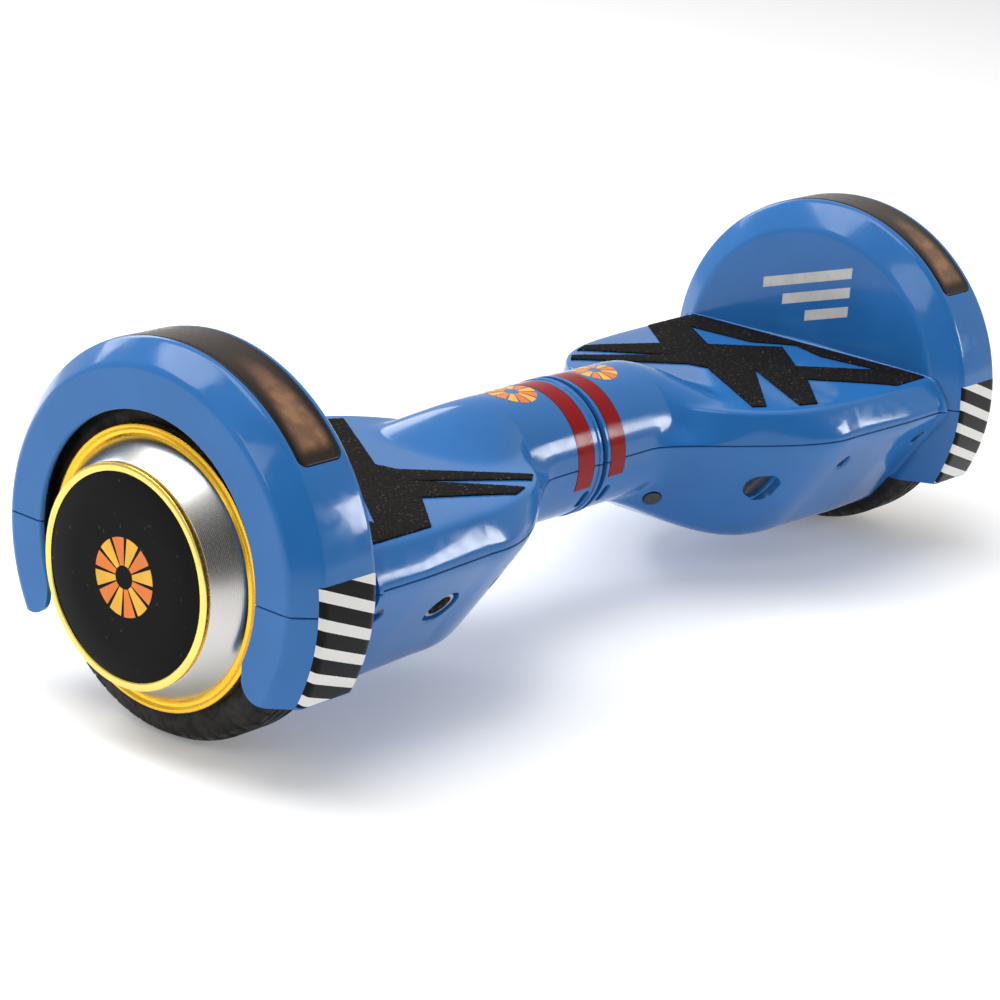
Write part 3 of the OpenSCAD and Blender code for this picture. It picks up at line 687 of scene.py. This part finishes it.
# ---------------------------------------------------------------- camera, light and floor
def studio():
    """A long lens at the front left, a pale floor and soft boxes."""
    camera = bpy.data.objects.new("camera", bpy.data.cameras.new("camera"))
    right = Vector((0.6448, -0.7608, 0.0733))
    up = Vector((0.1938, 0.2554, 0.9472))
    back = Vector((-0.7394, -0.5966, 0.3122))
    spot = Vector((-1.0990, -0.8566, 0.4316 + AXLE_Z * MM))
    camera.matrix_world = Matrix.Translation(spot) @ Matrix((right, up, back)).transposed().to_4x4()
    camera.data.lens = 103.45
    camera.data.sensor_width = 36
    bpy.context.scene.collection.objects.link(camera)
    bpy.context.scene.camera = camera

    world = bpy.data.worlds.new("studio")
    world.use_nodes = True
    nodes, links = world.node_tree.nodes, world.node_tree.links
    towards = nodes.new("ShaderNodeVectorMath")
    towards.operation = "DOT_PRODUCT"
    towards.inputs[1].default_value = (-0.25, -0.92, 0.3)
    links.new(nodes.new("ShaderNodeTexCoord").outputs["Generated"], towards.inputs[0])
    fade = nodes.new("ShaderNodeMapRange")
    for socket, value in {"From Min": 0.3, "From Max": 0.9, "To Min": 0.62, "To Max": 0.08}.items():
        fade.inputs[socket].default_value = value
    links.new(towards.outputs["Value"], fade.inputs["Value"])
    links.new(fade.outputs[0], nodes["Background"].inputs["Strength"])
    nodes["Background"].inputs["Color"].default_value = (1, 1, 1, 1)
    bpy.context.scene.world = world

    floor_mesh = bpy.data.meshes.new("floor")
    half = 12
    corners = [(-half, -half, 0), (half, -half, 0), (half, half, 0), (-half, half, 0)]
    floor_mesh.from_pydata(corners, [], [(0, 1, 2, 3)])
    floor = bpy.data.objects.new("floor", floor_mesh)
    bpy.context.scene.collection.objects.link(floor)
    pale = Finish("floor", (0.9, 0.9, 0.9), 0.9, emission_strength=0.2)
    floor_mesh.materials.append(pale.material)

    aim = Vector((0, 0, AXLE_Z * MM))
    boxes = {
        "key_box": ((1.9, -1.75, 0.75), (0.5, 0.6), 15),
        "top_box": ((-0.3, 0.2, 2.1), (1.6, 1.1), 22),
        "arc_box": ((-0.85, 1.1, 1.95), (1.2, 0.8), 16),
        "side_box": ((-1.9, -0.6, 1.5), (0.8, 0.8), 6),
        "back_box": ((0.6, 2.2, 1.2), (1.6, 0.7), 12),
    }
    for name, (position, (width, height), power) in boxes.items():
        light = bpy.data.lights.new(name, "AREA")
        light.shape = "RECTANGLE"
        light.size, light.size_y, light.energy = width, height, power
        lamp = bpy.data.objects.new(name, light)
        lamp.location = position
        lamp.rotation_euler = (aim - Vector(position)).to_track_quat("-Z", "Y").to_euler()
        bpy.context.scene.collection.objects.link(lamp)
    bpy.context.scene.view_settings.view_transform = "Standard"


studio()


# ---------------------------------------------------------------- shells
FENDER_WALL = rounded([
    (FENDER_X0, AXLE_HOLE_R, 0), (FENDER_X0, 82.5, 8), (237, FENDER_R, 4.5), (268.5, FENDER_R, 4),
    (FENDER_X1, 87.5, 5), (FENDER_X1, OPENING_R, 1.2), (FENDER_X1 - WALL, OPENING_R, 0.6),
    (FENDER_X1 - WALL, 85, 2), (267, FENDER_R - 3, 2), (239.6, FENDER_R - 3, 2), (WELL_X0, 81, 2),
    (WELL_X0, AXLE_HOLE_R, 0),
])
NECK_LIP = rounded([(NECK_END, 30, 0), (NECK_END, 35.7, 0.5), (4.6, 35.7, 1.1), (4.6, 30, 0)])


def loft(upper, inset, side, count=190):
    """Half of the lofted body as a closed solid with chamfered seam edges; inset makes its hollow."""
    stations = loft_stations()
    if inset:
        short = stations[stations < FENDER_X0 - 4]
        stations = np.concatenate([[NECK_END - 1], short, [FENDER_X0 - 0.6]])
    rows = []
    for x in stations:
        sign = 1 if upper else -1
        edge = SEAM + SEAM_CHAMFER if not inset else -1
        first = math.asin(edge / float(reach(0.0, x, inset)))
        low = first if upper else math.pi + first
        a = arc_angles(x, low, low + math.pi - 2 * first, count, inset)
        r = reach(a, x, inset)
        y, z = r * np.cos(a), r * np.sin(a)
        if not inset:
            side_y = abs(y[0]) - SEAM_CHAMFER
            ends = [sign * side_y, -sign * side_y]
            y = np.concatenate([[ends[0]], y, [ends[1]]])
            z = np.concatenate([[sign * SEAM], z, [sign * SEAM]])
        rows.append(np.stack([np.full(len(y), x), y, CENTRE_Z + z], 1))
    width = len(rows[0])
    faces = grid_faces(len(rows), width, False, True)
    last = (len(rows) - 1) * width
    faces += [tuple(range(width)), tuple(last + i for i in range(width))]
    return place("loft", np.concatenate(rows), faces, side)


def lens_slab(name, grow, low, high, edge, side):
    """A slab along the top of the fender, between two radii, with round corners and upper rim."""
    half = (LENS_X1 - LENS_X0) / 2 + grow
    corner = LENS_CORNER + grow
    span = math.radians(90 - LENS_ANGLE) * FENDER_R + grow

    def surface(along, across, r):
        near = span - abs(along)
        wide = half - corner + math.sqrt(corner**2 - max(0, corner - near) ** 2)
        inside = min(wide * (1 - abs(across)), near, edge) / edge
        if r == high:
            r -= edge * (1 - math.sqrt(1 - (1 - inside) ** 2))
        a = math.pi / 2 + along / FENDER_R
        return ((LENS_X0 + LENS_X1) / 2 + wide * across, r * math.cos(a), CENTRE_Z + r * math.sin(a))

    bend = corner * (1 - np.cos(np.linspace(0, math.pi / 2, 12)))
    straight = np.linspace(corner - span, span - corner, 90)[1:-1]
    along = np.concatenate([bend - span, straight, span - bend[::-1]])
    across = np.sin(np.linspace(-math.pi / 2, math.pi / 2, 25))
    return patch(name, surface, along, across, side, high, low)


def side_cutters(upper, side):
    """Everything that is cut out of a shell's outside, with rounded rims where they show."""
    if upper:
        return [lens_slab("pocket", 0.3, FENDER_R - 3.8, FENDER_R + 3, 0.01, side)]
    cutters = []
    round_r = 1.2
    rim = [
        (round_r * (1 - math.sin(t)), -round_r * (1 - math.cos(t)))
        for t in np.linspace(0, math.pi / 2, 6)
    ]

    def recess(matrix, radius, depth, stretch=0.0):
        lip = [(radius + u, v + 0.02) for u, v in rim]
        outline = [(0, 4), (radius + round_r, 4)] + lip + [(radius, -depth), (0, -depth)]
        cutters.append(cutter(outline, matrix, side, stretch))

    if side == LEFT:
        recess(slope_matrix(PORT_X, RECESS_Z), PORT_R, 20)
    else:
        recess(slope_matrix(BUTTON_X, RECESS_Z), BUTTON_R, 20)
        recess(flare_matrix(PLUG_X, PLUG_ANGLE), PLUG_R, 7)
    recess(neck_matrix(NECK_SLOT_X, NECK_SLOT_ANGLE) @ Matrix.Translation((0, 0, NECK_R)), 2.4, 8, 3.6)
    for x, y in SIDE_SCREWS[side]:
        depth = CENTRE_Z - (float(half_depth(x)) - y) / math.tan(LOWER_SLOPE)
        recess(slope_matrix(x, depth), SCREW_RECESS_R, SCREW_RECESS_DEPTH)
        for sign in (-1, 1):
            well = [(0, -62), (SCREW_WELL_R, -62), (SCREW_WELL_R, SCREW_SEAT_Z), (0, SCREW_SEAT_Z)]
            cutters.append(cutter(well, Matrix.Translation((x, sign * y, 0)), side))
            low, high = SCREW_SEAT_Z - 1, 8
            hole = [(0, low), (SCREW_HOLE_R, low), (SCREW_HOLE_R, high), (0, high)]
            cutters.append(cutter(hole, Matrix.Translation((x, sign * y, 0)), side))
    return cutters


def shell(upper, side):
    """Upper or lower half of one side: lofted body, fender and neck lip, hollow, with its openings."""
    name = f"{'upper' if upper else 'lower'}_shell_{SIDES[side]}"
    made = loft(upper, 0.0, side)
    made.name = name + "_skin"
    fender = place("fender", *half_around_x(FENDER_WALL, upper), side)
    lip = place("lip", *half_around_x(NECK_LIP, upper, 120), side)
    if not upper:
        tip = [(-110, 10), (-110, -28), (-96, -TIP_Z), (96, -TIP_Z), (110, -28), (110, 10)]
        combine(fender, [prism_x(tip, 200, 300, side)], "INTERSECT")
        opening = [(-TIP_OPEN_HALF, -TIP_OPEN_Z), (TIP_OPEN_HALF, -TIP_OPEN_Z)]
        curve = [
            (TIP_OPEN_HALF + TIP_CORNER * (1 - math.cos(t)), -TIP_Z + TIP_CORNER * (1 - math.sin(t)))
            for t in np.linspace(0, math.pi / 2, 10)
        ]
        outer_y, under = TIP_OPEN_HALF + TIP_CORNER, -TIP_Z - 5
        opening += curve + [(outer_y, under), (-outer_y, under)]
        opening += [(-y, z) for y, z in reversed(curve)]
        combine(fender, [prism_x(opening, WELL_X0, 300, side)], "DIFFERENCE")
    hollow = loft(upper, WALL, side)
    posts = []
    for x, y in SIDE_SCREWS[side]:
        for sign in (-1, 1):
            radius, low, high = (POST_R, CENTRE_Z - 2, 30) if upper else (BOSS_R, -70, CENTRE_Z + 2)
            post = [(0, low), (radius, low), (radius, high), (0, high)]
            posts.append(cutter(post, Matrix.Translation((x, sign * y, 0)), side))
    if not upper:
        port, button = (PORT_X, PORT_R + 2.5, 12), (BUTTON_X, BUTTON_R + 2, 16)
        x, radius, depth = port if side == LEFT else button
        boss = [(0, -depth), (radius, -depth), (radius, 8), (0, 8)]
        posts.append(cutter(boss, slope_matrix(x, RECESS_Z), side))
    combine(hollow, posts, "DIFFERENCE")
    combine(made, [hollow], "DIFFERENCE")
    combine(made, [fender, lip], "UNION")
    low, high = FENDER_X0 - 1, WELL_X0 + 1
    axle_hole = [(0, low), (AXLE_HOLE_R, low), (AXLE_HOLE_R, high), (0, high)]
    quarter_turn = Matrix.Rotation(math.pi / 2, 4, "Y")
    cuts = [cutter(axle_hole, quarter_turn, side)] + side_cutters(upper, side)
    combine(made, cuts, "DIFFERENCE")
    follow_surfaces(made, side)
    piece(made, f"{SIDES[side]}_half", MATERIALS["shell_blue"], "shell_blue", name)


def lens(side):
    low, high = FENDER_R - LENS_DEPTH, FENDER_R + LENS_PROUD
    made = lens_slab(f"lens_{SIDES[side]}_moulding", 0.0, low, high, 0.9, side)
    smooth(made, 40)
    piece(made, f"{SIDES[side]}_half", MATERIALS["smoked_lens"], "smoked_lens", f"lens_{SIDES[side]}")


for side in SIDES:
    shell(True, side)
    shell(False, side)
    lens(side)


# ---------------------------------------------------------------- wheels
def turned_piece(name, outline, side, body, slot, *nodes, steps=256):
    """A ring or disc on the axle line, from its closed outline (x, r)."""
    points, faces = around_x(outline, 0.0, steps)
    made = place(name, points, faces, side)
    smooth(made, 30)
    return piece(made, body, MATERIALS[slot], SLOTS.get(slot, slot), *nodes)


def tyre_outline():
    """Cross-section of the solid tyre, with three grooves round the tread."""
    tread = []
    for groove in (-6.5, 0, 6.5):
        middle = (TYRE_X0 + TYRE_X1) / 2 + groove
        tread += [
            (middle - 1.1, TYRE_R, 0.3), (middle - 0.6, TYRE_R - 1.3, 0.3),
            (middle + 0.6, TYRE_R - 1.3, 0.3), (middle + 1.1, TYRE_R, 0.3),
        ]
    side_wall = [
        (TYRE_X0 + 1.3, 63, 0), (TYRE_X0, 70, 5), (TYRE_X0 + 2.2, 77.6, 4), (TYRE_X0 + 9, TYRE_R, 6),
    ]
    other = [(TYRE_X0 + TYRE_X1 - x, r, radius) for x, r, radius in reversed(side_wall)]
    return spread(rounded(side_wall + tread + other), 3.0)


def tyre(side):
    """Solid tyre whose shoulders are cut by short slanted sipes."""
    sipes, slant, share, depth = 60, 0.035, 0.16, 0.9
    tread_half, shoulder_r = 9, 74.5
    outline = tyre_outline()
    steps = 480
    points, faces = around_x(outline, 0.0, steps)
    middle = (TYRE_X0 + TYRE_X1) / 2
    index = np.arange(len(points)) // len(outline)
    off = points[:, 0] - middle
    r = np.hypot(points[:, 1], points[:, 2])
    turn = (index * sipes / steps + np.abs(off) * slant) % 1
    cut = np.where((turn < share) & (np.abs(off) > tread_half) & (r > shoulder_r), depth, 0.0)
    points[:, 1:] *= ((r - cut) / r)[:, None]
    made = place(f"tyre_{SIDES[side]}_tread", points, faces, side)
    smooth(made, 35)
    piece(made, f"wheel_{SIDES[side]}", MATERIALS["tyre_rubber"], "tyre_rubber", f"tyre_{SIDES[side]}")


def wheel_face(side):
    """The rings, turned cone and black cap on the outside of the hub motor."""
    name, body = SIDES[side], f"wheel_{SIDES[side]}"
    outer = rounded([
        (RING_X0, RING_BORE_R, 0), (RING_X0, RING_R, 0.3), (RING_X1 - 0.3, RING_R, 0.7),
        (RING_X1, RING_R - 1.6, 0.6), (RING_X1 - 1.0, 62, 0.8), (RING_X1 - 1.2, 60.6, 0.5),
        (RING_X1 - 0.4, RING_BORE_R, 0),
    ])
    node = f"outer_trim_ring_{name}"
    turned_piece(f"{node}_turned", outer, side, body, "gold_trim", node)
    cone = rounded([
        (RING_X0, CONE_BORE_R, 0), (RING_X0, RING_BORE_R, 0), (RING_X1 - 0.4, RING_BORE_R, 0.5),
        (INNER_X0, INNER_R, 0.6), (INNER_X0, INNER_R - 1.9, 0), (275, CONE_BORE_R, 0),
    ])
    cone = spread(cone, 1.5)
    node = f"hub_cone_{name}"
    turned_piece(f"{node}_turned", cone, side, body, "turned_steel", node, steps=360)
    inner = rounded([
        (INNER_X0, CAP_R, 0), (INNER_X0, INNER_R, 0.3), (INNER_X1 - 0.5, INNER_R, 0.6),
        (INNER_X1, INNER_R - 1.2, 0.6), (INNER_X1, CAP_R + 0.5, 0.4), (INNER_X1 - 0.4, CAP_R, 0),
    ])
    node = f"inner_trim_ring_{name}"
    turned_piece(f"{node}_turned", inner, side, body, "pale_gold_trim", node)
    cap = [
        (CAP_X1 - 4.4, 0.4), (CAP_X1 - 4.4, CAP_R), (CAP_X1 - 0.5, CAP_R), (CAP_X1 - 0.15, CAP_R - 0.2),
        (CAP_X1, CAP_R - 0.7), (CAP_X1, 30), (CAP_X1, 12), (CAP_X1, 0.4),
    ]
    count, steps = len(cap), 256
    points, faces = around_x(np.array(cap, float), 0.0, steps)
    faces += [tuple(k * count + end for k in range(steps)) for end in (0, count - 1)]
    # The tube between the two end faces goes, so that they close the cap
    faces = [f for f in faces if {i % count for i in f} != {0, count - 1}]
    made = place(f"hub_cap_{name}_polished", points, faces, side)
    smooth(made, 30)
    piece(made, body, MATERIALS["gloss_black"], "gloss_black", f"hub_cap_{name}")


# ---------------------------------------------------------------- grip tape
TAPE_OUTLINE = [
    (225, 79), (225, -79), (197, -79), (164, -43), (130, -73), (119, -69), (156, -14), (102, -60),
    (95, -56), (137, 4), (134, 15), (87, 59), (94, 64), (141, 31), (105, 69), (116, 73), (156, 50),
    (182, 79),
]
TAPE_WINDOW = [(200, 62), (177, 33), (208, 4), (181, -24), (214, -56), (210, -20), (218, 2), (202, 22)]


def deck_height(x, y):
    """Height of the deck above the axle at points seen from above."""
    low, high = np.full(len(x), 0.02), np.full(len(x), math.pi / 2)
    for _ in range(30):
        a = (low + high) / 2
        outside = reach(a, x) * np.cos(a) > np.abs(y)
        low, high = np.where(outside, a, low), np.where(outside, high, a)
    a = (low + high) / 2
    return CENTRE_Z + reach(a, x) * np.sin(a)


def ragged(outline):
    """The outline of a cut in gritty sheet: close points that wander by a tenth of a millimetre."""
    points = spread(np.array(outline, float), 1.1)
    return points + rng.uniform(-0.16, 0.16, points.shape)


def tape(side):
    """Grip tape that lies on the deck and follows it down at the edges."""
    grid, edge_drop, face_drop, sunk = 4.0, 0.25, 0.02, 0.15
    loops = [[Vector((x, y, 0)) for x, y in ragged(loop)] for loop in (TAPE_OUTLINE, TAPE_WINDOW)]
    corners = [v for loop in loops for v in loop]
    work = bmesh.new()
    verts = [work.verts.new(v) for v in corners]
    for face in tessellate_polygon(loops):
        work.faces.new([verts[i] for i in face])
    for axis, low, high in (((1, 0, 0), 88, 225), ((0, 1, 0), -78, 78)):
        for cut in np.arange(low, high, grid):
            spot = Vector(axis) * float(cut)
            geometry = list(work.verts) + list(work.edges) + list(work.faces)
            plane = {"plane_co": spot, "plane_no": Vector(axis)}
            bmesh.ops.bisect_plane(work, geom=geometry, dist=1e-5, **plane)
    flat = np.array([v.co for v in work.verts])
    work.verts.index_update()
    faces = [[v.index for v in face.verts] for face in work.faces]
    rim = [[v.index for v in edge.verts] for edge in work.edges if len(edge.link_faces) == 1]
    work.free()
    under = deck_height(flat[:, 0], flat[:, 1])
    count = len(flat)
    edge = np.zeros(count, bool)
    edge[np.unique(rim)] = True
    top = under + np.where(edge, TAPE_T - edge_drop, TAPE_T - face_drop)
    points = np.concatenate([np.column_stack([flat[:, :2], z]) for z in (top, under - sunk)])
    all_faces = faces + [[i + count for i in reversed(face)] for face in faces]
    all_faces += [(a, b, b + count, a + count) for a, b in rim]
    if side == LEFT:
        points[:, 1] *= -1
    made = place(f"grip_tape_{SIDES[side]}_sheet", points, all_faces, side)
    smooth(made, 50)
    piece(made, f"{SIDES[side]}_half", MATERIALS["grip_tape"], "grip_tape", f"grip_tape_{SIDES[side]}")


# ---------------------------------------------------------------- stickers
RED_BAND = {LEFT: (8, 21), RIGHT: (5, 17)}
STRIPES_X, STRIPES_TOP = (236.5, 270.5), 8


def join(name, parts):
    """Several objects as one mesh."""
    work = bmesh.new()
    for part in parts:
        work.from_mesh(part.data)
        bpy.data.objects.remove(part)
    mesh = bpy.data.meshes.new(name)
    work.to_mesh(mesh)
    work.free()
    made = bpy.data.objects.new(name, mesh)
    bpy.context.scene.collection.objects.link(made)
    smooth(made, 40)
    return made


def on_body(x, a, lift):
    """A point over the lofted body, at angle a in its section in degrees."""
    turn = math.radians(a)
    r = float(reach(turn, x)) + lift
    return (x, r * math.cos(turn), CENTRE_Z + r * math.sin(turn))


def on_band(x, a, lift):
    """A point over the fender band at the front, a degrees above the horizontal."""
    outer = FENDER_WALL[2:]
    crest = outer[: int(np.argmax(outer[:, 0] >= FENDER_X1 - 0.01))]
    r = float(np.interp(x, crest[:, 0], crest[:, 1])) + lift
    turn = math.radians(a)
    return (x, -r * math.cos(turn), CENTRE_Z + r * math.sin(turn))


def on_disc(y, z, lift):
    """A point over the deck side of a fender."""
    return (FENDER_X0 - lift, y, z)


def on_cap(y, z, lift):
    """A point over the hub cap."""
    return (CAP_X1 + lift, y, z)


def petals(name, surface, centre, size, side, first):
    """Every second one of a ring of twelve petals, as a plain decoration."""
    parts = []

    def polar(r, a, lift):
        out, turn = size * r, math.radians(a)
        return surface(centre[0] + out * math.cos(turn), centre[1] + out * math.sin(turn), lift)

    for start in range(30 * first, 360, 60):
        angles = np.linspace(start + 3, start + 27, 6)
        parts.append(patch("petal", polar, np.linspace(0.3, 1.0, 6), angles, side))
    return join(name, parts)


def on_neck_top(u, v, lift):
    """A point over the top of the neck: u along the board, v round it from the top."""
    return on_body(u, 90 + math.degrees(v / NECK_R), lift)


def stickers(side):
    """Red bands, hazard stripes and plain decorations in place of marks."""
    name, body = SIDES[side], f"{SIDES[side]}_half"
    low_angle = 19 if side == LEFT else 14
    along, around = np.linspace(*RED_BAND[side], 9), np.linspace(-low_angle, 180 + low_angle, 120)
    red = patch(f"red_band_{name}", on_body, along, around, side)
    piece(red, body, STICKERS["red"][side], "shell_blue")
    lowest = math.degrees(math.asin((-TIP_Z + 0.6 - CENTRE_Z) / FENDER_R))
    along, around = np.linspace(*STRIPES_X, 24), np.linspace(lowest, STRIPES_TOP, 40)
    stripes = patch(f"hazard_stripes_{name}", on_band, along, around, side)
    piece(stripes, body, STICKERS["stripes"], "shell_blue")
    bars = []
    for k, (start, end) in enumerate(((-24, 34), (-24, 20), (-24, 4))):
        def slanted(u, v, lift, k=k):
            return on_disc(u, 58 - 11 * k + v - u * 0.3, lift)
        bars.append(patch("bar", slanted, np.linspace(start, end, 4), np.linspace(0, 6, 3), side, 0.1))
    marks = join(f"fender_bars_{name}", bars)
    piece(marks, body, STICKERS["pale"], "shell_blue")
    neck_x, size = (35, 13) if side == LEFT else (31, 12)
    for first, colour in ((0, "orange"), (1, "yellow")):
        made = petals(f"neck_petals_{colour}_{name}", on_neck_top, (neck_x, 0), size, side, first)
        piece(made, body, STICKERS[colour], "shell_blue")
        made = petals(f"cap_petals_{colour}_{name}", on_cap, (0, 0), 18, side, first)
        piece(made, f"wheel_{name}", STICKERS[colour], "gloss_black")


def vinyl(name, colour, roughness=0.14, shine=0.4):
    finish = Finish(name, colour, roughness, specular_ior_level=shine)
    finish.tint(finish.noise(14, 3), shade(colour, 0.88))
    finish.gloss(finish.noise(3, 3), roughness * 0.8, roughness * 1.3)
    return finish.bump(finish.noise(2.2), 0.004, 0.5)


def red_vinyl(side):
    """Deep red with thin dark lines beside its edges."""
    finish = vinyl(f"red_vinyl_{SIDES[side]}", (0.27, 0.002, 0.004), 0.14, 0.15)
    off = finish.math("ABSOLUTE", finish.axes()[0])
    for edge in RED_BAND[side]:
        near = finish.math("ABSOLUTE", finish.math("SUBTRACT", off, edge))
        finish.tint(finish.ramp(near, 0.45, 0.2), (0.03, 0.002, 0.004))
    return finish.material


def hazard_vinyl():
    """Slanted stripes: each one comes lower towards +X, on both fenders."""
    finish = vinyl("hazard_vinyl", (0.003, 0.003, 0.003), 0.2, 0.1)
    x, y, z = finish.axes()
    rise = finish.math("ARCTAN2", finish.math("SUBTRACT", z, CENTRE_Z), finish.math("ABSOLUTE", y))
    slant = finish.math("MULTIPLY", x, 0.23)
    turn = finish.math("ADD", finish.math("MULTIPLY", rise, 180 / math.pi), slant)
    stripe = finish.math("FRACT", finish.math("DIVIDE", finish.math("ADD", turn, 200), 7.5))
    finish.tint(finish.math("LESS_THAN", stripe, 0.42), (0.78, 0.77, 0.74))
    return finish.material


STICKERS = {
    "red": {side: red_vinyl(side) for side in SIDES},
    "stripes": hazard_vinyl(),
    "pale": vinyl("pale_print", (0.62, 0.6, 0.57), 0.3).material,
    "orange": vinyl("orange_vinyl", (0.85, 0.2, 0.012)).material,
    "yellow": vinyl("yellow_vinyl", (0.9, 0.47, 0.02)).material,
}

for side in SIDES:
    tyre(side)
    wheel_face(side)
    tape(side)
    stickers(side)


# ---------------------------------------------------------------- CAD nodes that keep their shape
for part in frame["record"]["subparts"]:
    node = frame["nodes"][part["node"]]
    node.data.materials.clear()
    node.data.materials.append(MATERIALS[part["material_slot"]])
